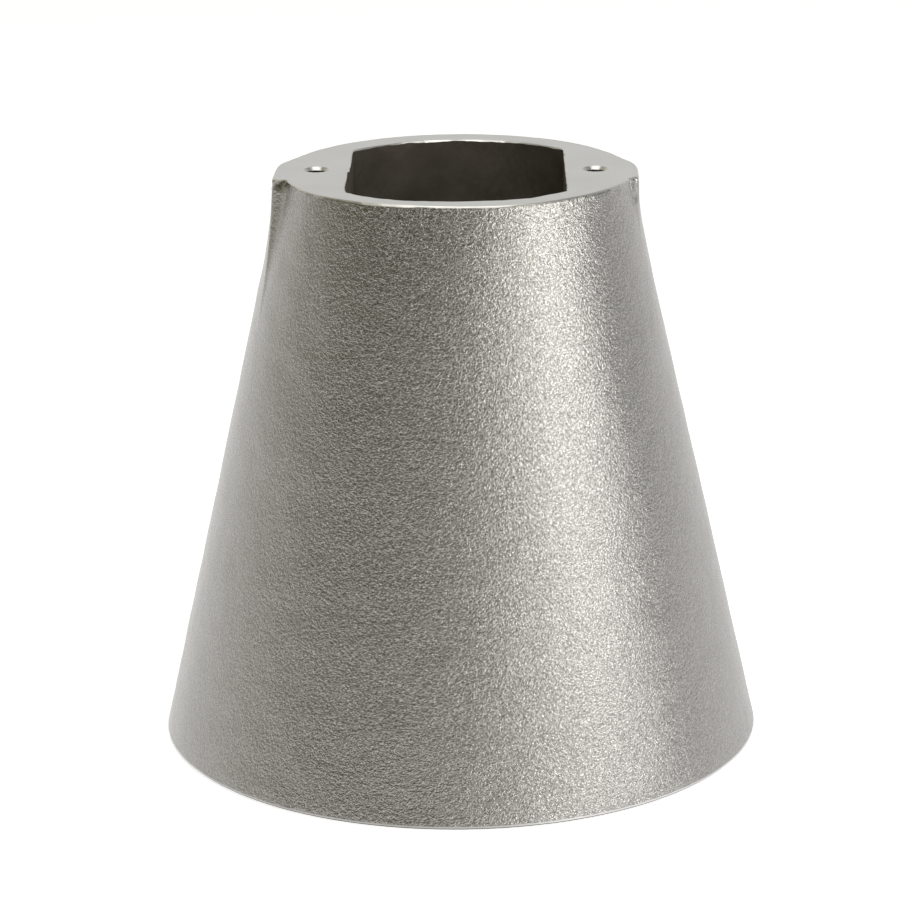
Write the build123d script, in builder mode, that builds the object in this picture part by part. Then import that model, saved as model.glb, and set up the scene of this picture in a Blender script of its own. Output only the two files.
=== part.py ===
"""Stanchion base: a sand-cast aluminium cone that bolts to a boat's deck from below.

The cone is open at both ends. At its top a flat-sided socket takes the foot of the stanchion,
and two lugs beside the socket carry small screws for a collar or cap. At its foot four bosses
inside the skirt carry the deck bolts. Every screw runs in a stainless wire thread insert, because
stainless screws seize in bare aluminium.

Frame: millimetres, +Z up, origin at the centre of the foot, X through the two top screw holes.
"""

import os
from math import cos, radians, sin, tan

from build123d import *

# Cone
HEIGHT = 115.0
BASE_DIAMETER = 120.8
TOP_DIAMETER = 68.0
WALL = 6.0  # measured level, the same at the foot and at the top
FOOT_EDGE_BREAK = 0.4

# Lugs that stand out of the cone beside the socket. Each steps down to the cone at its front,
# and runs out along a tangent to the cone's rim at its back.
LUG_REACH = 36.0  # from the axis to the lug's outer face, at the top
LUG_FRONT = 9.2  # from the holes' centre line to the step
LUG_TANGENT = 26.5  # degrees round from the holes' centre line, where the tangent meets the rim
LUG_FRONT_CORNER = 0.8
LUG_BACK_CORNER = 6.0
LUG_DEPTH = 15.0
LUG_DRAFT = 1.0  # degrees

# Socket between the two flat-faced pads
SOCKET_WIDTH = 42.5
PAD_DEPTH = 42.0
PAD_SLOPE = 45.0  # degrees, underside of the pads
SOCKET_CORNER = 1.0
PAD_FOOT_BLEND = 3.0

# Bosses for the deck bolts
BOSS_CIRCLE = 90.0
BOSS_COUNT = 4
BOSS_WIDTH = 20.0
BOSS_HEIGHT = 26.0  # at the point nearest the axis
BOSS_SLOPE = 30.0  # degrees, the top rises towards the wall
BOSS_TOP_BLEND = 2.0

# Top screws: the hole tapped for the insert, and the insert's bore, left for an M4 screw
SCREW_PITCH = 55.0
SCREW_TAPPED_DIAMETER = 4.95
SCREW_BORE_DIAMETER = 3.3
SCREW_INSERT_LENGTH = 6.0
SCREW_HOLE_DEPTH = 12.0
SCREW_INSERT_RECESS = 0.7

# Deck bolts: the same for M8
BOLT_TAPPED_DIAMETER = 9.66
BOLT_BORE_DIAMETER = 6.8
BOLT_INSERT_LENGTH = 16.0
BOLT_HOLE_DEPTH = 21.0
BOLT_INSERT_RECESS = 1.0

HOLE_EDGE_BREAK = 0.15  # chamfer on each tapped hole's mouth
INSERT_CLEARANCE = 0.02  # on the radius, so that insert and casting share no material
INSERT_LEAD_IN = 0.2
DRILL_POINT = 118.0  # degrees

# Worked out from the above
base_radius = BASE_DIAMETER / 2
top_radius = TOP_DIAMETER / 2
cone_lean = (base_radius - top_radius) / HEIGHT
pad_face = SOCKET_WIDTH / 2
pad_foot = HEIGHT - PAD_DEPTH
boss_nose = (BOSS_CIRCLE - BOSS_WIDTH) / 2  # the boss's point nearest the axis
overrun = 2.0  # how far the core runs past the machined faces
tangent_x = top_radius * cos(radians(LUG_TANGENT))
tangent_y = top_radius * sin(radians(LUG_TANGENT))
lug_back = tangent_y - (LUG_REACH - tangent_x) / tan(radians(LUG_TANGENT))

os.makedirs("parts", exist_ok=True)


def core_radius(height):
    """Radius of the core, which leaves the cone's wall, at a height."""
    return base_radius - WALL - cone_lean * height


def is_socket_corner(edge):
    """Whether an edge of the core is one of the socket's four upright corners."""
    middle = edge.center()
    return middle.Z > pad_foot and abs(abs(middle.X) - pad_face) < 0.1 and abs(middle.Y) > 1


def drill_tip(diameter):
    """Depth of the pointed end of a drilled hole."""
    return diameter / 2 / tan(radians(DRILL_POINT / 2))


# The bosses fill part of the core. Their tops rise towards the wall.
with BuildPart() as bosses:
    with BuildSketch(Plane.XY.offset(-2 * overrun)):
        with PolarLocations(BOSS_CIRCLE / 2, BOSS_COUNT, start_angle=45):
            Circle(BOSS_WIDTH / 2)
            Rectangle(BOSS_WIDTH, BOSS_WIDTH, align=(Align.MIN, Align.CENTER))
    extrude(amount=HEIGHT)
    with BuildSketch(Plane.XZ):
        with BuildLine():
            rise = (base_radius - boss_nose) * tan(radians(BOSS_SLOPE))
            Polyline(
                (0, -3 * overrun),
                (2 * base_radius, -3 * overrun),
                (2 * base_radius, BOSS_HEIGHT + rise),
                (base_radius, BOSS_HEIGHT + rise),
                (boss_nose, BOSS_HEIGHT),
                (0, BOSS_HEIGHT),
                close=True,
            )
        make_face()
    revolve(axis=Axis.Z, mode=Mode.INTERSECT)
    boss_tops = bosses.faces().filter_by(GeomType.CONE)
    boss_rims = boss_tops.edges().filter_by_position(Axis.Z, BOSS_HEIGHT, BOSS_HEIGHT + rise - 1)
    fillet(boss_rims, BOSS_TOP_BLEND)

# The sand core that forms the inside. Core and bosses are tools, not pieces.
with BuildPart() as core:
    with BuildSketch(Plane.XZ):
        with BuildLine():
            Polyline(
                (0, -overrun),
                (core_radius(-overrun), -overrun),
                (core_radius(HEIGHT + overrun), HEIGHT + overrun),
                (0, HEIGHT + overrun),
                close=True,
            )
        make_face()
    revolve(axis=Axis.Z)

    with BuildSketch(Plane.XZ):
        with BuildLine():
            pad_run = base_radius - pad_face
            Polyline(
                (pad_face, HEIGHT + 2 * overrun),
                (pad_face, pad_foot),
                (base_radius, pad_foot - pad_run * tan(radians(PAD_SLOPE))),
                (base_radius, HEIGHT + 2 * overrun),
                close=True,
            )
        make_face()
        mirror(about=Plane.YZ)
    extrude(amount=base_radius, both=True, mode=Mode.SUBTRACT)

    pad_feet = core.edges().filter_by(Axis.Y).filter_by_position(Axis.Z, pad_foot - 0.1, pad_foot + 0.1)
    fillet(pad_feet, PAD_FOOT_BLEND)
    socket_corners = core.edges().filter_by(is_socket_corner)
    fillet(socket_corners, SOCKET_CORNER)
    add(bosses.part, mode=Mode.SUBTRACT)



def tapped_hole(diameter, depth):
    """Tool for a hole drilled and tapped upwards from the origin, with its mouth deburred."""
    radius = diameter / 2
    with BuildPart() as tool:
        with BuildSketch(Plane.XZ):
            with BuildLine():
                Polyline(
                    (0, 0),
                    (radius + HOLE_EDGE_BREAK, 0),
                    (radius, HOLE_EDGE_BREAK),
                    (radius, depth),
                    (0, depth + drill_tip(diameter)),
                    close=True,
                )
            make_face()
        revolve(axis=Axis.Z)
    return tool.part


def insert_sleeve(tapped_diameter, bore_diameter, length, recess):
    """Thread insert as a plain sleeve, set upwards from the origin by its recess."""
    with BuildPart() as sleeve:
        with BuildSketch(Plane.XY.offset(recess)):
            Circle(tapped_diameter / 2 - INSERT_CLEARANCE)
            Circle(bore_diameter / 2, mode=Mode.SUBTRACT)
        extrude(amount=length)
        bore_edges = sleeve.edges().filter_by(GeomType.CIRCLE).sort_by(SortBy.RADIUS)[:2]
        chamfer(bore_edges, INSERT_LEAD_IN)
    return sleeve.part


screw_hole = tapped_hole(SCREW_TAPPED_DIAMETER, SCREW_HOLE_DEPTH)
screw_sleeve = insert_sleeve(
    SCREW_TAPPED_DIAMETER, SCREW_BORE_DIAMETER, SCREW_INSERT_LENGTH, SCREW_INSERT_RECESS
)
bolt_hole = tapped_hole(BOLT_TAPPED_DIAMETER, BOLT_HOLE_DEPTH)
bolt_sleeve = insert_sleeve(
    BOLT_TAPPED_DIAMETER, BOLT_BORE_DIAMETER, BOLT_INSERT_LENGTH, BOLT_INSERT_RECESS
)

# The screws go down into the top face, so their holes hang upside down from it
screw_places = {
    "left": Location((-SCREW_PITCH / 2, 0, HEIGHT), (180, 0, 0)),
    "right": Location((SCREW_PITCH / 2, 0, HEIGHT), (180, 0, 0)),
}
bolt_reach = BOSS_CIRCLE / 2 * sin(radians(45))
bolt_places = {
    "front_left": Location((-bolt_reach, -bolt_reach, 0)),
    "front_right": Location((bolt_reach, -bolt_reach, 0)),
    "rear_left": Location((-bolt_reach, bolt_reach, 0)),
    "rear_right": Location((bolt_reach, bolt_reach, 0)),
}

# The casting, with its drilled and tapped holes
with BuildPart() as body_casting:
    with BuildSketch(Plane.XZ):
        with BuildLine():
            Polyline(
                (0, 0),
                (base_radius, 0),
                (top_radius, HEIGHT),
                (0, HEIGHT),
                close=True,
            )
        make_face()
    revolve(axis=Axis.Z)
    foot_edge = body_casting.edges().filter_by(GeomType.CIRCLE).sort_by(Axis.Z)[0]
    chamfer(foot_edge, FOOT_EDGE_BREAK)

    with BuildSketch(Plane.XY.offset(HEIGHT)) as lugs:
        with BuildLine():
            Polyline(
                (-LUG_REACH, -LUG_FRONT),
                (LUG_REACH, -LUG_FRONT),
                (LUG_REACH, lug_back),
                (tangent_x, tangent_y),
                (-tangent_x, tangent_y),
                (-LUG_REACH, lug_back),
                close=True,
            )
        make_face()
        fillet(lugs.vertices().filter_by_position(Axis.Y, -LUG_FRONT, -LUG_FRONT), LUG_FRONT_CORNER)
        fillet(lugs.vertices().filter_by_position(Axis.Y, lug_back, lug_back), LUG_BACK_CORNER)
    extrude(amount=-LUG_DEPTH, taper=-LUG_DRAFT)

    add(core.part, mode=Mode.SUBTRACT)
    with Locations(*screw_places.values()):
        add(screw_hole, mode=Mode.SUBTRACT)
    with Locations(*bolt_places.values()):
        add(bolt_hole, mode=Mode.SUBTRACT)

body_casting.part.label = "body_casting"
export_step(body_casting.part, "parts/body_casting.step")

# One wire insert in each tapped hole
for side, place in screw_places.items():
    with BuildPart() as top_insert:
        with Locations(place):
            add(screw_sleeve)
    top_insert.part.label = f"top_insert_{side}"
    export_step(top_insert.part, f"parts/top_insert_{side}.step")

for corner, place in bolt_places.items():
    with BuildPart() as deck_insert:
        with Locations(place):
            add(bolt_sleeve)
    deck_insert.part.label = f"deck_insert_{corner}"
    export_step(deck_insert.part, f"parts/deck_insert_{corner}.step")
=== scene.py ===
"""Looks of the stanchion base: the cast body rebuilt as a mesh with its rough skin, wire coils for
the thread inserts, materials, floor, light and camera. Everything sits in the CAD frame."""

import math

import bmesh
import bpy
import numpy as np
from mathutils import Matrix, Vector, noise
from mathutils.geometry import tessellate_polygon


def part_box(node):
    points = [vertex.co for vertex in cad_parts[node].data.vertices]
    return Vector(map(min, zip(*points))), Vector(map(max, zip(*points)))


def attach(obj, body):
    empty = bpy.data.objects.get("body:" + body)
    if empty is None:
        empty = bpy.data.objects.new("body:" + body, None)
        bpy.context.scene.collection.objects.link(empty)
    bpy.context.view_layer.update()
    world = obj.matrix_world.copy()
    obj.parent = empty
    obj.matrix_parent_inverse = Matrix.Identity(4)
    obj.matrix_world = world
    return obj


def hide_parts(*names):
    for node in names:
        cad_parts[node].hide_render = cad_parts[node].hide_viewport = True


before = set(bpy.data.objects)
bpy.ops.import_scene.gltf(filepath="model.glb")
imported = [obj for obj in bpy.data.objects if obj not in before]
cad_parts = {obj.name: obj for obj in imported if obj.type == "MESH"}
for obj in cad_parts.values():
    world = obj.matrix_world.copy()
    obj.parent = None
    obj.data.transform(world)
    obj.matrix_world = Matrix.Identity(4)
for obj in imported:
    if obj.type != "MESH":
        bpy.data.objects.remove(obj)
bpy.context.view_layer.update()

MM = 0.001  # the mesh is worked out in millimetres

# Sizes of the casting, in millimetres, as in the CAD
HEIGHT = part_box("body_casting")[1][2] / MM
BASE_RADIUS = 60.4
TOP_RADIUS = 34.0
WALL = 6.0
LEAN = (BASE_RADIUS - TOP_RADIUS) / HEIGHT
FOOT_EDGE = 0.65  # height of the turned edge round the foot
RIGHT_REACH = 35.85  # the lugs' flats from the middle; hand fettling left them a little uneven
LEFT_REACH = 35.6
LEFT_FRONT = 9.2  # front face of the left lug, square to Y
RIGHT_FRONT = 30.2  # front face of the right lug, at 45 degrees
LUG_TANGENT = math.radians(26.5)
LUG_DRAFT = math.tan(math.radians(1.0))
PAD_FACE = 21.25
PAD_FOOT = HEIGHT - 42.0
SOCKET_TURN = math.radians(1.0)  # the core lay a little askew in the mould
SOCKET_SHIFT = 0.3
BOSS_CENTRE = 45.0
BOSS_RADIUS = 10.0
BOSS_HEIGHT = 26.0
BOSS_RISE = math.tan(math.radians(30.0))
RIM_BREAK = 0.24  # deburred edge round the machined top face
RIM_BREAK_LEAST = 0.05
MOUTH_BREAK = 0.28  # the same round the socket's mouth
MOUTH_BREAK_LEAST = 0.04

# Unevenness of the real casting, in millimetres
RIGHT_SWELL = 1.4  # the cone swells beside the lugs
LEFT_SWELL = 0.5
FRONT_HOLLOW = 1.2  # and stands back at the front near the top
GROOVE_DEPTH = 0.3  # upright groove beside the right lug
SEAM_HEIGHT = 0.24  # rough seam on the right lug's front corner
PIT_DEPTH = 0.22  # in the left lug's front corner
EDGE_WEAR = 0.16  # the top's broken edge is wider at the front on the left
FULLER_MIDDLE = 0.4  # the socket's front is fuller than its back, most of all towards the corners
FULLER_CORNERS = 1.5
FLAT_STEP = 0.3  # the front half of the socket's left flat stands back

# Mesh divisions
OUTSIDE_LINES = 512  # upright lines round the outside
QUARTER = 72  # upright lines of the inside in each quarter
WALL_LINES = 18
SIDE_LINES = 6
NOSE_LINES = QUARTER - 2 * (WALL_LINES + SIDE_LINES)
FLAT_LINES = 32
FOOT_ROWS = 13
BOSS_TOP_ROWS = 8
SCREW_HOLE_LINES = 48
BOLT_HOLE_LINES = 56
COIL_STEPS = 40  # sections of wire in one turn

# The casting's material slots
OUTER_SKIN, MACHINED, INNER_SKIN, TAPPED, CUT_EDGE = range(5)

# Tapped holes as radius and depth from the mouth, in millimetres
SCREW_PROFILE = [(2.62, 0.0), (2.12, 0.62), (2.16, 0.68), (2.475, 0.8), (2.475, 12.0)]
BOLT_PROFILE = [(4.98, 0.0), (4.2, 0.75), (4.24, 0.82), (4.83, 0.96), (4.83, 21.0)]
DRILL_POINT = math.radians(59)  # half the angle of the drill's point

# Thread inserts: bore radius and pitch, in millimetres
TOP_INSERTS = ("top_insert_left", "top_insert_right")
TOP_BORE, TOP_PITCH = 1.65, 0.7
DECK_INSERTS = (
    "deck_insert_front_left",
    "deck_insert_front_right",
    "deck_insert_rear_left",
    "deck_insert_rear_right",
)
DECK_BORE, DECK_PITCH = 3.4, 1.25


# ---------------------------------------------------------------- shapes worked out with numpy


def smooth_max(a, b, k):
    """Larger of two values, with the corner between them rounded over k."""
    h = np.maximum(k - np.abs(a - b), 0.0) / k
    return np.maximum(a, b) + h * h * k / 4


def smooth_min(a, b, k):
    """Smaller of two values, with the corner between them rounded over k."""
    return -smooth_max(-a, -b, k)


def noise_at(points, size, seed):
    """Smooth noise from -1 to 1 at each point, with lumps about that many millimetres apart."""
    offset = Vector((13.1 * seed, 7.7 * seed, 3.3 * seed))
    return np.array([noise.noise(Vector(p) / size + offset) for p in points])


def ease(value):
    """Smooth step from 0 to 1."""
    value = np.clip(value, 0, 1)
    return value * value * (3 - 2 * value)


def hump(value, centre, spread):
    """Bell curve from 0 to 1, highest at centre."""
    return np.exp(-(((value - centre) / spread) ** 2))


def lug_distance(x, y, drop):
    """How far points lie outside the lugs' outline, that many millimetres below the top."""
    grow = drop * LUG_DRAFT
    right = x > 0
    across = np.abs(x)
    flat = across - np.where(right, RIGHT_REACH, LEFT_REACH) - grow
    tangent = across * math.cos(LUG_TANGENT) + y * math.sin(LUG_TANGENT) - TOP_RADIUS - grow
    behind = y * math.cos(LUG_TANGENT) - across * math.sin(LUG_TANGENT)
    slanted = np.maximum((x - y) * math.sqrt(0.5) - RIGHT_FRONT, -y - 2 * LEFT_FRONT)
    front = np.where(right, slanted, -y - LEFT_FRONT) - grow
    end = np.where(right, smooth_max(flat, tangent, 1.8), smooth_max(flat, tangent, 1.1))
    lug = smooth_max(end, front, 0.6)
    return np.maximum(lug, behind)


def outer_radius(theta, z):
    """Radius of the undisturbed outside at an angle and a height, lugs included."""
    drop = HEIGHT - z
    across, along = np.cos(theta), np.sin(theta)
    turn = np.degrees(np.arctan2(along, across))
    beside_right = hump(turn, -10, np.where(turn < -10, 25, 20))
    beside_left = hump(turn, -142, 9)
    swell = (RIGHT_SWELL * beside_right + LEFT_SWELL * beside_left) * math.exp(-drop / 10)
    hollow = FRONT_HOLLOW * hump(turn, -99, 19) * math.exp(-drop / 14)
    cone = BASE_RADIUS - LEAN * z + swell - hollow
    low = np.full_like(theta, TOP_RADIUS - 4)
    high = np.full_like(theta, BASE_RADIUS + 4)
    for _ in range(24):
        radius = (low + high) / 2
        x, y = radius * across, radius * along
        blend = 0.3 + np.where(x > 0, 0.3, 2.8) * ease((2 - y) / 6) * ease((drop + 0.2) / 2)
        inside = smooth_min(radius - cone, lug_distance(x, y, drop), blend) < 0
        low = np.where(inside, radius, low)
        high = np.where(inside, high, radius)
    groove = GROOVE_DEPTH * hump(turn, -14.9, 0.5) * (1 - ease(drop / 6))
    return radius - groove


def rough_corners(points):
    """Lumpy seam left standing on the right lug's front corner, and a pit in the left lug's."""
    turn = np.degrees(np.arctan2(points[:, 1], points[:, 0]))
    drop = HEIGHT - points[:, 2]
    lumps = 0.6 + 2.0 * noise_at(points, 0.8, 12)
    seam = SEAM_HEIGHT * lumps * hump(turn, -12.4, 1.5) * (1 - ease((drop - 3) / 5))
    pit = PIT_DEPTH * lumps * hump(turn, -166.8, 1.6) * hump(drop, 1.3, 1.1)
    return seam - pit


class MeshMaker:
    """Collects shared vertices and faces with a material number."""

    def __init__(self):
        self.points = []
        self.faces = []
        self.kinds = []
        self.plates = []

    def add_points(self, points):
        """Keep the points and return their numbers."""
        start = len(self.points)
        self.points.extend(tuple(p) for p in points)
        return np.arange(start, start + len(points))

    def add_grid(self, grid, kind):
        """Faces of a grid of vertex numbers whose rows are closed loops."""
        for low, high in zip(grid[:-1], grid[1:]):
            low_next = np.roll(low, -1)
            high_next = np.roll(high, -1)
            for face in zip(low, low_next, high_next, high):
                self.faces.append(tuple(int(v) for v in face))
                self.kinds.append(kind)

    def add_fan(self, loop, point, kind):
        """Triangles from a closed loop to one point."""
        tip = self.add_points([point])[0]
        for a, b in zip(loop, np.roll(loop, -1)):
            self.faces.append((int(a), int(b), int(tip)))
            self.kinds.append(kind)

    def add_plate(self, loops, kind):
        """Flat face bounded by the first loop, with the other loops as holes."""
        numbers = np.concatenate(loops)
        rings = [[Vector(self.points[v]) for v in loop] for loop in loops]
        for triangle in tessellate_polygon(rings):
            self.plates.append(len(self.faces))
            self.faces.append(tuple(int(numbers[v]) for v in triangle))
            self.kinds.append(kind)

    def build(self, name, materials):
        """Make the Blender object: smooth curved faces, sharp edges where they turn, flat plates."""
        mesh = bpy.data.meshes.new(name)
        mesh.from_pydata([Vector(p) * MM for p in self.points], [], self.faces)
        for material in materials:
            mesh.materials.append(material)
        mesh.polygons.foreach_set("material_index", self.kinds)
        work = bmesh.new()
        work.from_mesh(mesh)
        bmesh.ops.recalc_face_normals(work, faces=work.faces)
        work.to_mesh(mesh)
        work.free()
        mesh.polygons.foreach_set("use_smooth", [True] * len(mesh.polygons))
        mesh.set_sharp_from_angle(angle=math.radians(32))
        for number in self.plates:
            mesh.polygons[number].use_smooth = False
            for loop in mesh.polygons[number].loop_indices:
                mesh.edges[mesh.loops[loop].edge_index].use_edge_sharp = True
        mesh.update()
        piece = bpy.data.objects.new(name, mesh)
        bpy.context.scene.collection.objects.link(piece)
        return piece


def skin_relief(points):
    """Height of the cast skin's larger unevenness, in millimetres."""
    return (
        0.10 * noise_at(points, 22.0, 1)
        + 0.07 * noise_at(points, 6.5, 2)
        + 0.035 * noise_at(points, 3.0, 3)
    )


def outer_angles():
    """Angles of the outside's upright lines, closer together at the lugs' steps."""
    count = 4000
    angle = np.linspace(-math.pi / 2, 1.5 * math.pi, count, endpoint=False)
    density = np.ones(count)
    for centre, spread, extra in ((-15.0, 4.5, 1.8), (195.0, 2.4, 4.0)):
        density += extra * hump(np.degrees(angle), centre, spread)
    total = np.cumsum(density)
    total = (total - total[0]) / (total[-1] - total[0] + density[0])
    return np.interp(np.arange(OUTSIDE_LINES) / OUTSIDE_LINES, total, angle)


def outer_rings():
    """Grid of points up the outside, from the foot's underside to the top face."""
    theta = outer_angles()
    body = np.linspace(1.4, 99.0, 98)
    beside_lugs = np.linspace(99.6, HEIGHT - 0.6, 24)
    heights = np.concatenate([[FOOT_EDGE], body, beside_lugs])
    direction = np.stack([np.cos(theta), np.sin(theta)], axis=1)

    def ring_at(radius, z):
        """Closed ring of points; z is one height or a height for each line."""
        return np.column_stack([direction * radius[:, None], np.broadcast_to(z, len(theta))])

    def skin_ring(z):
        """Ring of the cast skin with its relief, calmer at the foot and livelier at the rim."""
        points = ring_at(outer_radius(theta, float(np.mean(z))), z)
        relief = skin_relief(points) + rough_corners(points)
        rim = ease((points[:, 2] - (HEIGHT - 2.5)) / 2.0)
        foot = 1 - ease((points[:, 2] - FOOT_EDGE) / 1.5)
        relief = relief * (1 - 0.8 * foot) + rim * 0.08 * noise_at(points, 1.3, 4)
        points[:, :2] += direction * relief[:, None]
        return points

    rings = [skin_ring(z) for z in heights]

    # The edge round the top was broken by hand
    rim_line = ring_at(outer_radius(theta, HEIGHT), HEIGHT)
    wear = EDGE_WEAR * hump(np.degrees(theta) - 360 * (theta > math.pi), -113, 13)
    unevenness = 0.12 * noise_at(rim_line, 5.0, 5) + 0.06 * noise_at(rim_line, 1.6, 6)
    size = np.maximum(RIM_BREAK + wear + unevenness, RIM_BREAK_LEAST)
    rings.append(skin_ring(HEIGHT - size))
    on_top = rings[-1].copy()
    on_top[:, :2] -= direction * size[:, None] * 0.9
    on_top[:, 2] = HEIGHT
    foot = ring_at(np.full_like(theta, BASE_RADIUS - 0.45), 0.0)
    foot_side = ring_at(np.full_like(theta, BASE_RADIUS - 0.1), FOOT_EDGE / 2)
    return [foot, foot_side] + rings + [on_top]


def core_radius(z):
    """Radius of the core that leaves the wall's thickness."""
    return BASE_RADIUS - WALL - LEAN * z


def inside_point(theta, z):
    """Points of the wall or pad in one quarter, for an array of angles at one height."""
    pad = PAD_FACE + max(PAD_FOOT - z, 0.0)
    cone = core_radius(z)
    reach = pad / np.maximum(np.cos(theta), 1e-4)
    blend = 3.0 * np.clip((PAD_FOOT + 3 - z) / 6, 0, 1) + 0.4
    radius = smooth_min(np.full_like(theta, cone), np.minimum(reach, 500.0), blend)
    return np.column_stack([radius * np.cos(theta), radius * np.sin(theta), np.full_like(theta, z)])


def upper_angles(z):
    """Angles of the lines where the pads are: one line runs up each corner of the socket."""
    corner = math.acos(PAD_FACE / core_radius(max(z, PAD_FOOT)))
    flat = np.arctan(np.linspace(0, 1, FLAT_LINES + 1) * math.tan(corner))
    arc = np.linspace(corner, math.pi / 2, QUARTER - FLAT_LINES + 1)
    return np.concatenate([flat, arc[1:]])


def boss_outline(z):
    """Points of one quarter at the foot: wall, boss side, nose, side, wall."""
    wall = core_radius(z)
    root = math.asin(BOSS_RADIUS / wall)
    along = math.sqrt(wall**2 - BOSS_RADIUS**2)
    first = np.linspace(0, math.pi / 4 - root, WALL_LINES + 1)
    last = np.linspace(math.pi / 4 + root, math.pi / 2, WALL_LINES + 1)
    run = np.linspace(along, BOSS_CENTRE, SIDE_LINES + 1)[1:]
    turn = np.linspace(-math.pi / 2, -1.5 * math.pi, NOSE_LINES + 1)[1:]
    nose_u = BOSS_CENTRE + BOSS_RADIUS * np.cos(turn)
    nose_v = BOSS_RADIUS * np.sin(turn)
    back = np.linspace(BOSS_CENTRE, along, SIDE_LINES + 1)[1:]
    u = np.concatenate([run, nose_u, back])
    v = np.concatenate([np.full(len(run), -BOSS_RADIUS), nose_v, np.full(len(back), BOSS_RADIUS)])
    half = math.sqrt(0.5)
    x = np.concatenate([wall * np.cos(first), (u - v) * half, wall * np.cos(last[1:])])
    y = np.concatenate([wall * np.sin(first), (u + v) * half, wall * np.sin(last[1:])])
    return np.column_stack([x, y])


def quarter_lines():
    """Grid of points on a quarter of the inside, rows upwards, from the X axis to the Y axis."""
    # Height at which the bosses' sloping tops run out into the wall
    meet = BOSS_HEIGHT + BOSS_RISE * (BASE_RADIUS - WALL - BOSS_CENTRE + BOSS_RADIUS)
    meet /= 1 + BOSS_RISE * LEAN
    foot = boss_outline(0.0)
    radius = np.hypot(foot[:, 0], foot[:, 1])
    line = np.arange(QUARTER + 1)
    first_boss, last_boss = WALL_LINES, QUARTER - WALL_LINES
    on_boss = (line >= first_boss) & (line <= last_boss)
    boss_top = BOSS_HEIGHT + BOSS_RISE * (radius - BOSS_CENTRE + BOSS_RADIUS)
    plain = meet * FOOT_ROWS / (FOOT_ROWS + BOSS_TOP_ROWS)
    to_boss = np.clip(np.minimum(line, QUARTER - line) / WALL_LINES, 0, 1) ** 2
    highest = meet - 0.2
    beside_boss = plain + (highest - plain) * to_boss
    shoulder = np.where(on_boss, np.minimum(boss_top, highest), beside_boss)
    wall_angle = np.arctan2(foot[:, 1], foot[:, 0])
    wall_angle[first_boss : last_boss + 1] = np.linspace(
        wall_angle[first_boss], wall_angle[last_boss], last_boss - first_boss + 1
    )
    rows = []
    for share in np.arange(FOOT_ROWS + 1) / FOOT_ROWS:
        z = shoulder * share
        outline = np.array([boss_outline(height)[n] for n, height in enumerate(z)])
        rows.append(np.column_stack([outline, z]))
    shoulder_row = rows[-1]
    wall_row = inside_point(wall_angle, meet)
    for share in np.arange(1, BOSS_TOP_ROWS + 1) / BOSS_TOP_ROWS:
        rows.append(shoulder_row + (wall_row - shoulder_row) * share)
    socket = np.linspace(PAD_FOOT, HEIGHT - 1.0, 36)[1:]
    mouth = [HEIGHT - 0.6, HEIGHT - MOUTH_BREAK, HEIGHT]
    heights = np.concatenate([np.linspace(meet, PAD_FOOT, 22)[1:], socket, mouth])
    for z in heights:
        change = np.clip((z - meet) / (PAD_FOOT - meet), 0, 1)
        theta = wall_angle + (upper_angles(z) - wall_angle) * change
        rows.append(inside_point(theta, z))
    return np.array(rows)


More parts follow.
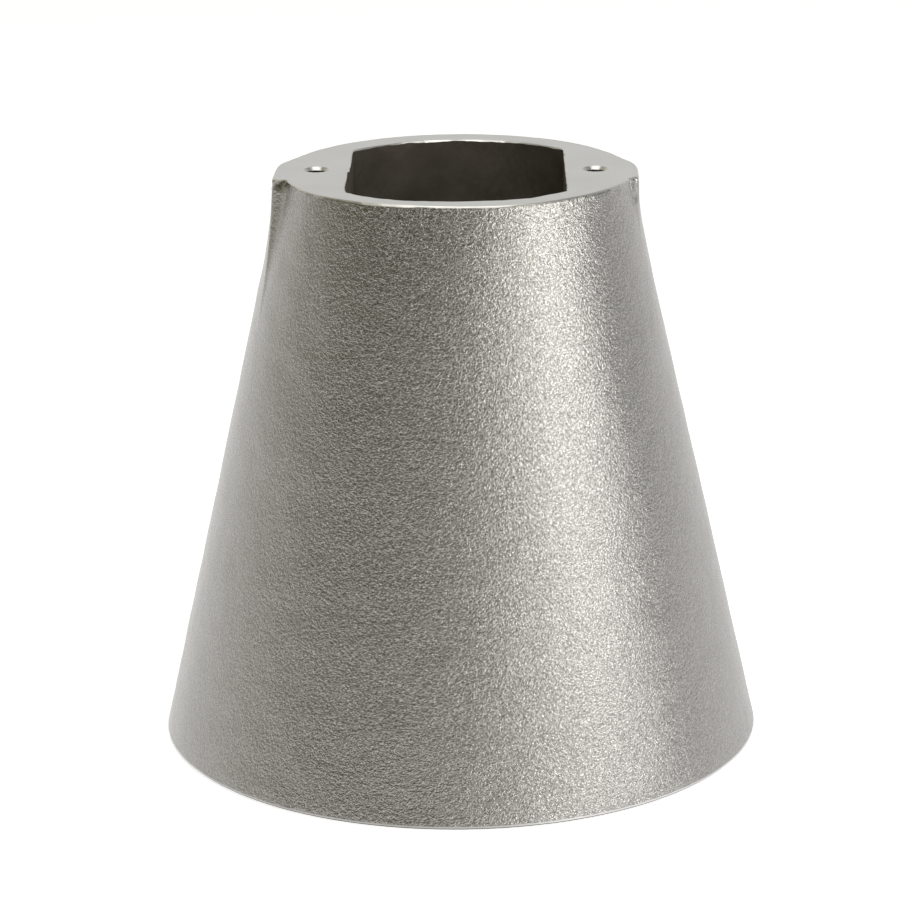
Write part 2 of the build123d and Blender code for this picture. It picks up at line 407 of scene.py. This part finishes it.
def inner_rings():
    """Grid of points up the inside, all the way round."""
    quarter = quarter_lines()
    flip_x = np.array([-1, 1, 1])
    flip_y = np.array([1, -1, 1])
    second = quarter[:, ::-1][:, 1:] * flip_x
    third = (quarter * flip_x * flip_y)[:, 1:]
    fourth = (quarter[:, ::-1] * flip_y)[:, 1:-1]
    grid = np.concatenate([quarter, second, third, fourth], axis=1)
    sway = SOCKET_TURN * ease((grid[:, :, 2] - PAD_FOOT + 20) / 20)
    x, y = grid[:, :, 0].copy(), grid[:, :, 1].copy()
    grid[:, :, 0] = x - y * sway + SOCKET_SHIFT / SOCKET_TURN * sway
    grid[:, :, 1] = y + x * sway

    to_corners = ease((np.abs(x) - 3) / 12)
    fuller = FULLER_MIDDLE + (FULLER_CORNERS - FULLER_MIDDLE) * to_corners
    grid[:, :, 1] -= fuller * ease(-y / 8) * ease((grid[:, :, 2] - PAD_FOOT + 20) / 20)

    # Cast corners are round, so the lower part is eased; the socket stays crisp
    for _ in range(4):
        around = (np.roll(grid, 1, axis=1) + np.roll(grid, -1, axis=1)) / 2
        upright = grid.copy()
        upright[1:-1] = (grid[2:] + grid[:-2]) / 2
        eased = 0.5 * grid + 0.25 * around + 0.25 * upright
        eased[0] = 0.5 * grid[0] + 0.5 * around[0]
        weight = np.clip((PAD_FOOT + 10 - grid[:, :, 2:3]) / 10, 0, 1)
        grid = grid + (eased - grid) * weight
    along = np.roll(grid, -1, axis=1) - np.roll(grid, 1, axis=1)
    up = np.gradient(grid, axis=0)
    normal = np.cross(up, along)
    normal /= np.maximum(np.linalg.norm(normal, axis=2, keepdims=True), 1e-9)
    flat = grid.reshape(-1, 3)
    relief = 0.12 * noise_at(flat, 14.0, 7) + 0.09 * noise_at(flat, 5.0, 8)
    relief += 0.05 * noise_at(flat, 2.6, 9)
    relief = relief.reshape(grid.shape[:2])
    rim = np.clip((grid[:, :, 2] - (HEIGHT - 2.0)) / 2.0, 0, 1)
    relief += rim * 0.14 * noise_at(flat, 1.9, 10).reshape(grid.shape[:2])
    shift = normal * relief[:, :, None]
    shift[0, :, 2] = 0
    shift[-3:, :, 2] = 0
    edge = grid[-1]
    outward = edge[:, :2] / np.linalg.norm(edge[:, :2], axis=1, keepdims=True)
    unevenness = 0.16 * noise_at(edge, 3.0, 14) + 0.12 * noise_at(edge, 1.2, 15)
    size = np.maximum(MOUTH_BREAK + unevenness, MOUTH_BREAK_LEAST)
    shift[-1, :, :2] += size[:, None] * outward
    shift[-2, :, 2] = MOUTH_BREAK - size

    on_flat = (grid[:, :, 0] < 1.0 - PAD_FACE) & (grid[:, :, 2] > PAD_FOOT)
    step = ease((-0.8 - grid[:, :, 1]) / 0.5) * ease((grid[:, :, 1] + 19) / 2)
    shift[:, :, 0] -= np.where(on_flat, FLAT_STEP * step, 0)
    return grid + shift


def add_hole(maker, centre, mouth_z, way, profile, count):
    """Tapped hole with a pointed end. Way is 1 for a hole that goes up from its mouth, -1 for down."""
    turn = np.arange(count) / count * 2 * math.pi
    loops = []
    for radius, depth in profile:
        ring = np.column_stack(
            [
                centre[0] + radius * np.cos(turn),
                centre[1] + radius * np.sin(turn),
                np.full(count, mouth_z + way * depth),
            ]
        )
        loops.append(maker.add_points(ring))
    maker.add_grid(loops[:2], CUT_EDGE)
    maker.add_grid(loops[1:], TAPPED)
    last_radius, last_depth = profile[-1]
    tip = last_depth + last_radius / math.tan(DRILL_POINT)
    maker.add_fan(loops[-1], (centre[0], centre[1], mouth_z + way * tip), TAPPED)
    return loops[0]


def box_centre(node):
    """Middle of a CAD node's box, in millimetres."""
    low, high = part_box(node)
    return [(a + b) / 2 / MM for a, b in zip(low, high)]


def make_casting(materials):
    """The whole cast body as one closed mesh, in the place of the CAD's."""
    maker = MeshMaker()
    outside = [maker.add_points(ring) for ring in outer_rings()]
    inside = [maker.add_points(ring) for ring in inner_rings()]
    # The lowest band of the foot's edge takes the dark inside material: painted contact shade along
    # the foot
    maker.add_grid(outside[:2], INNER_SKIN)
    maker.add_grid(outside[1:3], MACHINED)
    maker.add_grid(outside[2:-1], OUTER_SKIN)
    maker.add_grid(outside[-2:], CUT_EDGE)
    maker.add_grid(inside[:-1], INNER_SKIN)
    maker.add_grid(inside[-2:], CUT_EDGE)
    top_holes = [
        add_hole(maker, box_centre(node), HEIGHT, -1, SCREW_PROFILE, SCREW_HOLE_LINES)
        for node in TOP_INSERTS
    ]
    foot_holes = [
        add_hole(maker, box_centre(node), 0.0, 1, BOLT_PROFILE, BOLT_HOLE_LINES)
        for node in DECK_INSERTS
    ]
    maker.add_plate([outside[-1], inside[-1]] + top_holes, MACHINED)
    maker.add_plate([outside[0], inside[0]] + foot_holes, MACHINED)
    piece = maker.build("casting", materials)
    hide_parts("body_casting")
    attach(piece, "root")


def make_coil(node, bore_radius, pitch, end_angle, material):
    """Coil of wire with pointed sides in the place of an insert. Its upper end is at end_angle."""
    low, high = ([value / MM for value in corner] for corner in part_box(node))
    centre = box_centre(node)
    outer = (high[0] - low[0]) / 2
    outer_flat, inner_flat = 0.05 * pitch, 0.157 * pitch
    half = ((outer - bore_radius) * math.tan(math.radians(30)) + outer_flat + inner_flat) / 2
    middle = outer - (half - outer_flat) / math.tan(math.radians(30))
    section = [
        (outer, outer_flat),
        (middle, half),
        (bore_radius, inner_flat),
        (bore_radius, -inner_flat),
        (middle, -half),
        (outer, -outer_flat),
    ]
    length = high[2] - low[2]
    turns = (length - 2 * half) / pitch
    steps = int(turns * COIL_STEPS)
    maker = MeshMaker()
    rings = []
    for step in range(steps + 1):
        share = step / steps
        angle = end_angle - (1 - share) * turns * 2 * math.pi
        z = low[2] + half + share * (length - 2 * half)
        ring = [
            (centre[0] + r * math.cos(angle), centre[1] + r * math.sin(angle), z + rise)
            for r, rise in section
        ]
        rings.append(maker.add_points(ring))
    maker.add_grid(rings, 0)
    for ring in (rings[0], rings[-1]):
        maker.faces.append(tuple(int(v) for v in ring))
        maker.kinds.append(0)
    piece = maker.build(node + "_coil", [material])
    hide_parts(node)
    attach(piece, "root")


# ---------------------------------------------------------------- materials


class Nodes:
    """Short way to build a node material."""

    def __init__(self, name):
        self.material = bpy.data.materials.new(name)
        self.material.use_nodes = True
        self.tree = self.material.node_tree
        self.shader = self.tree.nodes["Principled BSDF"]
        self.place = self.tree.nodes.new("ShaderNodeTexCoord").outputs["Object"]

    def add(self, kind, **settings):
        """Add a node; each setting is one of its properties or the value of a socket."""
        node = self.tree.nodes.new(kind)
        for key, value in settings.items():
            if hasattr(node, key):
                setattr(node, key, value)
            else:
                node.inputs[key.replace("_", " ").title()].default_value = value
        return node

    def link(self, source, target):
        self.tree.links.new(source, target)

    def noise(self, scale, detail=2.0, roughness=0.5):
        """Noise in the object's own space; scale is lumps to the metre."""
        node = self.add("ShaderNodeTexNoise", scale=scale, detail=detail, roughness=roughness)
        self.link(self.place, node.inputs["Vector"])
        return node.outputs["Fac"]

    def mix(self, amount, low, high):
        """Number between low and high as amount goes from 0 to 1."""
        node = self.add("ShaderNodeMapRange")
        self.link(amount, node.inputs["Value"])
        node.inputs["To Min"].default_value = low
        node.inputs["To Max"].default_value = high
        return node.outputs["Result"]

    def ramp(self, amount, stops):
        """Colours blended between stops, each a place from 0 to 1 and a colour."""
        node = self.add("ShaderNodeValToRGB")
        self.link(amount, node.inputs["Fac"])
        ramp = node.color_ramp
        for number, (position, colour) in enumerate(stops):
            element = ramp.elements[number] if number < 2 else ramp.elements.new(position)
            element.position = position
            element.color = (*colour, 1.0)
        return node.outputs["Color"]

    def bump(self, height, distance):
        """Shading relief of that distance in metres."""
        node = self.add("ShaderNodeBump")
        node.inputs["Strength"].default_value = 1.0
        node.inputs["Distance"].default_value = distance
        self.link(height, node.inputs["Height"])
        return node.outputs["Normal"]


def cast_skin():
    """Outside as cast: fine grains on bright aluminium."""
    nodes = Nodes("cast_skin")
    nodes.shader.inputs["Metallic"].default_value = 1.0
    nodes.link(nodes.mix(nodes.noise(150, 3), 0.2, 0.26), nodes.shader.inputs["Roughness"])

    # The skin is smoother at the two sides, and its painted grain shade is fainter there. Places go
    # round from the left side by way of the front
    round_about = nodes.add("ShaderNodeTexGradient", gradient_type="RADIAL")
    nodes.link(nodes.place, round_about.inputs["Vector"])
    stops = [(0.0, 0.3), (0.09, 0.5), (0.14, 0.75), (0.2, 1.0), (0.29, 1.0), (0.33, 0.75)]
    stops += [(0.42, 0.58), (0.47, 0.4), (0.52, 0.4), (0.6, 0.7), (0.9, 0.7), (1.0, 0.3)]
    greys = [(place, (value, value, value)) for place, value in stops]
    grain_and_shade_strength = nodes.ramp(round_about.outputs["Fac"], greys)
    grains = nodes.bump(nodes.noise(1250, 2, 0.95), 0.00027)
    nodes.link(grain_and_shade_strength, grains.node.inputs["Strength"])
    nodes.link(grains, nodes.shader.inputs["Normal"])

    # Where it is coarse, the grains also differ in colour: partly their own random tone, partly
    # painted shade and highlight of the grains
    even = nodes.ramp(nodes.noise(60, 3), [(0.3, (0.342, 0.333, 0.321)), (0.7, (0.37, 0.361, 0.349))])
    dark, light = (0.262, 0.255, 0.245), (0.454, 0.442, 0.426)
    speckle_and_grain_shade = nodes.ramp(nodes.noise(2600, 1), [(0.32, dark), (0.68, light)])
    tone = nodes.add("ShaderNodeMixRGB")
    nodes.link(grain_and_shade_strength, tone.inputs["Fac"])
    nodes.link(even, tone.inputs["Color1"])
    nodes.link(speckle_and_grain_shade, tone.inputs["Color2"])
    nodes.link(tone.outputs["Color"], nodes.shader.inputs["Base Color"])
    return nodes.material


def machined_face():
    """Top face and foot as turned: pale and fine."""
    nodes = Nodes("machined_face")
    nodes.shader.inputs["Metallic"].default_value = 1.0
    tone = nodes.ramp(nodes.noise(90, 4), [(0.3, (0.60, 0.60, 0.60)), (0.7, (0.64, 0.64, 0.64))])
    nodes.link(tone, nodes.shader.inputs["Base Color"])
    nodes.link(nodes.mix(nodes.noise(300, 3), 0.42, 0.5), nodes.shader.inputs["Roughness"])
    nodes.link(nodes.bump(nodes.noise(3000, 2), 0.00001), nodes.shader.inputs["Normal"])
    return nodes.material


def cut_edge():
    """Edges broken with a file: the brightest metal."""
    nodes = Nodes("cut_edge")
    nodes.shader.inputs["Metallic"].default_value = 1.0
    tone = nodes.ramp(nodes.noise(400, 3), [(0.3, (0.66, 0.65, 0.62)), (0.7, (0.72, 0.71, 0.68))])
    nodes.link(tone, nodes.shader.inputs["Base Color"])
    nodes.link(nodes.mix(nodes.noise(900, 2), 0.32, 0.42), nodes.shader.inputs["Roughness"])
    nodes.link(nodes.bump(nodes.noise(2500, 2), 0.00002), nodes.shader.inputs["Normal"])
    return nodes.material


def inner_skin():
    """Inside as cast: dull and dark brown."""
    nodes = Nodes("inner_skin")
    nodes.shader.inputs["Metallic"].default_value = 0.6
    tone = nodes.ramp(nodes.noise(120, 4), [(0.3, (0.105, 0.092, 0.073)), (0.7, (0.165, 0.145, 0.12))])
    nodes.link(tone, nodes.shader.inputs["Base Color"])
    nodes.link(nodes.mix(nodes.noise(200, 3), 0.55, 0.7), nodes.shader.inputs["Roughness"])
    nodes.link(nodes.bump(nodes.noise(700, 3), 0.0003), nodes.shader.inputs["Normal"])
    return nodes.material


def tapped_metal():
    """Metal in the tapped holes, behind the wire."""
    nodes = Nodes("tapped_metal")
    nodes.shader.inputs["Metallic"].default_value = 1.0
    # The tone is kept dark: painted shade inside the holes
    tone = nodes.ramp(nodes.noise(900, 2), [(0.3, (0.13, 0.125, 0.11)), (0.7, (0.19, 0.18, 0.16))])
    nodes.link(tone, nodes.shader.inputs["Base Color"])
    nodes.link(nodes.mix(nodes.noise(1500, 2), 0.4, 0.55), nodes.shader.inputs["Roughness"])
    return nodes.material


def stainless_wire():
    """Wire of the thread inserts."""
    nodes = Nodes("stainless_wire")
    nodes.shader.inputs["Metallic"].default_value = 1.0
    # The wire's tone is kept far darker than stainless steel: painted shade inside the holes
    tone = nodes.ramp(nodes.noise(1200, 2), [(0.3, (0.22, 0.21, 0.2)), (0.7, (0.3, 0.29, 0.27))])
    nodes.link(tone, nodes.shader.inputs["Base Color"])
    nodes.link(nodes.mix(nodes.noise(2500, 2), 0.2, 0.3), nodes.shader.inputs["Roughness"])
    nodes.link(nodes.bump(nodes.noise(6000, 2), 0.00001), nodes.shader.inputs["Normal"])
    return nodes.material


# ---------------------------------------------------------------- the pieces

make_casting([cast_skin(), machined_face(), inner_skin(), tapped_metal(), cut_edge()])
wire = stainless_wire()
for number, node in enumerate(TOP_INSERTS):
    make_coil(node, TOP_BORE, TOP_PITCH, math.radians(30 + 6 * number), wire)
for number, node in enumerate(DECK_INSERTS):
    make_coil(node, DECK_BORE, DECK_PITCH, 1.3 * number, wire)


# ---------------------------------------------------------------- floor, light and camera

FLOOR_REACH = 4  # metres
FLOOR_LEVEL = -0.0002
FLOOR_GLOW = 0.59  # keeps the pale floor from going grey away from the lights
floor_corners = [
    (x * FLOOR_REACH, y * FLOOR_REACH, FLOOR_LEVEL) for x, y in ((-1, -1), (1, -1), (1, 1), (-1, 1))
]
floor_mesh = bpy.data.meshes.new("floor")
floor_mesh.from_pydata(floor_corners, [], [(0, 1, 2, 3)])
floor = bpy.data.objects.new("floor", floor_mesh)
bpy.context.scene.collection.objects.link(floor)
floor_nodes = Nodes("floor")
floor_nodes.shader.inputs["Base Color"].default_value = (0.9, 0.9, 0.9, 1)
floor_nodes.shader.inputs["Roughness"].default_value = 0.8
floor_nodes.shader.inputs["Emission Color"].default_value = (1, 1, 1, 1)
floor_nodes.shader.inputs["Emission Strength"].default_value = FLOOR_GLOW
floor_mesh.materials.append(floor_nodes.material)
floor.visible_glossy = False  # the metal mirrors the soft room instead

# Soft light of the room, where azimuth 0 is the camera's side and 90 is the right. It is given at
# every ROOM_STEP degrees, and blended from one azimuth to the next.
ROOM_STEP = 30
ROOM_AZIMUTHS = range(-90, 270, ROOM_STEP)
BACK_AZIMUTH = 186  # the bright wall behind the object
BACK_LOW, BACK_HIGH = 0.78, 0.83
WARM_AZIMUTH = -50  # the side whose light is like straw
WINDOW_AZIMUTH, WINDOW_WIDTH, WINDOW_LEVEL = 9, 27, 0.42
REST_LOW, REST_HIGH = 0.14, 0.04
FLOOR_AZIMUTH = 70  # the side where the floor below is brightest
FLOOR_LEVEL, FLOOR_EXTRA = 1.05, 0.2
SHADE_AZIMUTH, SHADE_WIDTH, SHADE_LEVEL = 160, 35, 0.15  # where the floor is darker, behind
FLOOR_WARMTH = 0.05  # what comes up from the pale floor is nearly white


def facing(azimuth, middle, narrowness=2):
    """One towards that middle, falling smoothly to nothing on the opposite side."""
    return ((1 + math.cos(math.radians(azimuth - middle))) / 2) ** narrowness


def tinted(level, warmth):
    """Light of that brightness, from white at no warmth to straw at 1."""
    return (level, level * (1 - 0.07 * warmth), level * (1 - 0.4 * warmth))


def room_warmth(azimuth):
    """How much like straw the room's light is."""
    return 0.1 + 0.9 * facing(azimuth, WARM_AZIMUTH, narrowness=3)


def room_below(azimuth):
    """Light that comes up from the floor."""
    shade = SHADE_LEVEL * hump(azimuth, SHADE_AZIMUTH, SHADE_WIDTH)
    level = FLOOR_LEVEL + FLOOR_EXTRA * facing(azimuth, FLOOR_AZIMUTH) - shade
    return tinted(level, FLOOR_WARMTH)


def room_low(azimuth):
    """Light near the horizon, from the back wall and from a window by the camera."""
    window = WINDOW_LEVEL * hump(azimuth, WINDOW_AZIMUTH, WINDOW_WIDTH)
    level = REST_LOW + BACK_LOW * facing(azimuth, BACK_AZIMUTH) + window
    return tinted(level, room_warmth(azimuth))


def room_high(azimuth):
    """Light from high up."""
    level = REST_HIGH + BACK_HIGH * facing(azimuth, BACK_AZIMUTH)
    return tinted(level, room_warmth(azimuth))


world = bpy.data.worlds.new("studio")
bpy.context.scene.world = world
world.use_nodes = True
world_tree = world.node_tree
direction = world_tree.nodes.new("ShaderNodeTexCoord").outputs["Generated"]
round_about = world_tree.nodes.new("ShaderNodeTexGradient")
round_about.gradient_type = "RADIAL"
world_tree.links.new(direction, round_about.inputs["Vector"])


def add_room(colour_at):
    """Light of the room all round, from the function that gives its colour at an azimuth."""
    ramp = world_tree.nodes.new("ShaderNodeValToRGB")
    world_tree.links.new(round_about.outputs["Fac"], ramp.inputs["Fac"])
    stops = ramp.color_ramp.elements
    stops[0].color = (*colour_at(ROOM_AZIMUTHS[0]), 1)
    stops[-1].color = (*colour_at(ROOM_AZIMUTHS[0]), 1)
    for azimuth in ROOM_AZIMUTHS[1:]:
        stops.new((azimuth - ROOM_AZIMUTHS[0]) / 360).color = (*colour_at(azimuth), 1)
    return ramp.outputs["Color"]


rise = world_tree.nodes.new("ShaderNodeSeparateXYZ")
world_tree.links.new(direction, rise.inputs["Vector"])


def blend_up(below, above, start, end):
    """Change from one colour to another as the direction's height goes from start to end."""
    band = world_tree.nodes.new("ShaderNodeMapRange")
    band.interpolation_type = "SMOOTHSTEP"
    band.inputs["From Min"].default_value = start
    band.inputs["From Max"].default_value = end
    world_tree.links.new(rise.outputs["Z"], band.inputs["Value"])
    mixed = world_tree.nodes.new("ShaderNodeMixRGB")
    world_tree.links.new(band.outputs["Result"], mixed.inputs["Fac"])
    world_tree.links.new(below, mixed.inputs["Color1"])
    world_tree.links.new(above, mixed.inputs["Color2"])
    return mixed.outputs["Color"]


lower = blend_up(add_room(room_below), add_room(room_low), -0.2, 0.15)
room = blend_up(lower, add_room(room_high), 0.3, 0.65)
ambient = world_tree.nodes["Background"]
world_tree.links.new(room, ambient.inputs["Color"])

# The camera sees a plain white background
seen = world_tree.nodes.new("ShaderNodeLightPath").outputs["Is Camera Ray"]
backdrop = world_tree.nodes.new("ShaderNodeBackground")
backdrop.inputs["Color"].default_value = (1, 1, 1, 1)
backdrop.inputs["Strength"].default_value = 1.0
either = world_tree.nodes.new("ShaderNodeMixShader")
world_tree.links.new(seen, either.inputs["Fac"])
world_tree.links.new(ambient.outputs["Background"], either.inputs[1])
world_tree.links.new(backdrop.outputs["Background"], either.inputs[2])
world_tree.links.new(either.outputs["Shader"], world_tree.nodes["World Output"].inputs["Surface"])


PANEL_DISTANCE = 1.0
MIDDLE_HEIGHT = 0.06  # the panels aim at about the middle of the object


def add_panel(name, azimuth, elevation, width, height):
    """Soft panel light aimed at the object. Azimuth 0 is the camera's side, 90 is the right."""
    light = bpy.data.lights.new(name, "AREA")
    light.shape = "RECTANGLE"
    light.size = width
    light.size_y = height
    lamp = bpy.data.objects.new(name, light)
    a, e = math.radians(azimuth), math.radians(elevation)
    way = Vector((math.sin(a) * math.cos(e), -math.cos(a) * math.cos(e), math.sin(e)))
    lamp.location = way * PANEL_DISTANCE + Vector((0, 0, MIDDLE_HEIGHT))
    lamp.rotation_euler = way.to_track_quat("Z", "Y").to_euler()
    bpy.context.scene.collection.objects.link(lamp)
    return light


# Azimuth and elevation in degrees, width and height in metres, power in watts, warmth
PANELS = (
    (40, 5, 0.16, 0.2, 0.74, 0.0),
    (70, 5, 0.16, 0.2, 0.85, 0.05),
    (40, 18, 0.14, 0.2, 0.2, 0.2),
    (50, 18, 0.14, 0.2, 0.82, 0.2),
    (60, 18, 0.14, 0.2, 0.18, 0.0),
    (70, 18, 0.14, 0.2, 0.4, 0.1),
    (30, 34, 0.16, 0.2, 0.47, 0.4),
    (0, 66, 1.0, 0.4, 3.5, 0.1),
)
for number, (azimuth, elevation, width, height, power, warmth) in enumerate(PANELS):
    panel = add_panel("panel_%d" % number, azimuth, elevation, width, height)
    panel.energy = power
    panel.color = tinted(1.0, warmth)

YAW = math.radians(1.7)  # the object is seen a little from one side
PITCH = math.radians(17.154)
ROLL = math.radians(-0.55)
CAMERA_PLACE = Vector((0.0007, -0.6637, 0.2595))
LENS = 133.9
camera_data = bpy.data.cameras.new("camera")
camera_data.sensor_width = 36
camera_data.lens = LENS
camera_data.clip_start = 0.01
camera = bpy.data.objects.new("camera", camera_data)
bpy.context.scene.collection.objects.link(camera)
camera.matrix_world = (
    Matrix.Rotation(YAW, 4, "Z")
    @ Matrix.Translation(CAMERA_PLACE)
    @ Matrix.Rotation(math.pi / 2 - PITCH, 4, "X")
    @ Matrix.Rotation(ROLL, 4, "Z")
)
bpy.context.scene.camera = camera

view = bpy.context.scene.view_settings
view.view_transform = "Standard"
view.look = "None"
view.exposure = 0
view.gamma = 1
